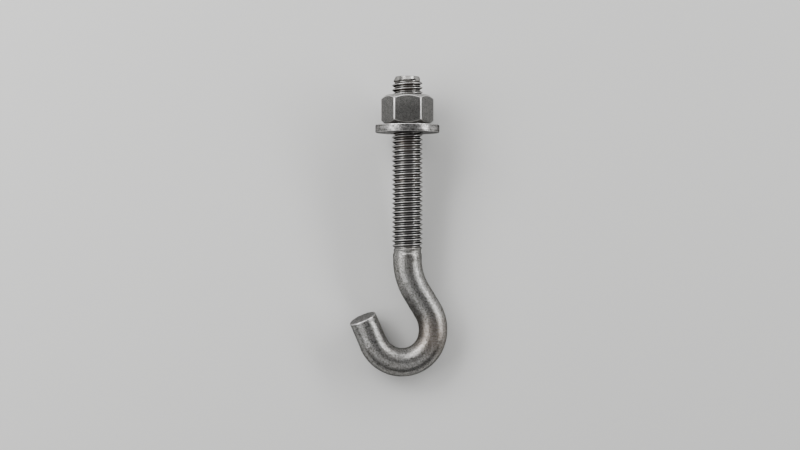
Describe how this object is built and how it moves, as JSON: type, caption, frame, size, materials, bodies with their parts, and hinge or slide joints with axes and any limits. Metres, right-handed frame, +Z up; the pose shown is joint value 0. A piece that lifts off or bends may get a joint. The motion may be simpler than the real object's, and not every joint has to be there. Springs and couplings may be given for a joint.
{
  "type": "j-bolt",
  "caption": "Round steel bar bent into an offset hook at one end and threaded at the other, with a hex nut and a flat washer run onto the thread.",
  "frame": {"origin": "middle of the outline as the part lies, on the plane it lies on", "axes": "+Y along the lying bolt towards its threaded end, which the washer's rim lifts by 4.4 degrees; +X towards the side that the bar swings out to before the hook; +Z up, square to the plane it lies on"},
  "size_m": [0.0404, 0.1244, 0.0267],
  "materials": {
    "bolt_steel": "plain bar, satin with small dark pits, threads bright at the crests",
    "washer_steel": "satin, worn bright at the edges",
    "nut_steel": "matt grey flats, worn bright at the edges"
  },
  "bodies": {
    "bolt": {"bolt": "bolt_steel"},
    "washer": {"washer": "washer_steel"},
    "nut": {"nut": "nut_steel"}
  },
  "joints": [
    {"name": "washer_travel", "type": "slide", "parent": "bolt", "child": "washer", "axis": [0, 0.997, 0.0771], "range_m": [-0.04885, 0.01758]},
    {"name": "nut_turn", "type": "hinge", "parent": "washer", "child": "nut", "pos_m": [0.00361, 0.04198, 0.0135], "axis": [0, 0.997, 0.0771], "range_deg": [-9000, 3240]}
  ],
  "couplings": [
    {"joint": "washer_travel", "follows": "nut_turn", "m_per_rad": 0.00031096}
  ]
}
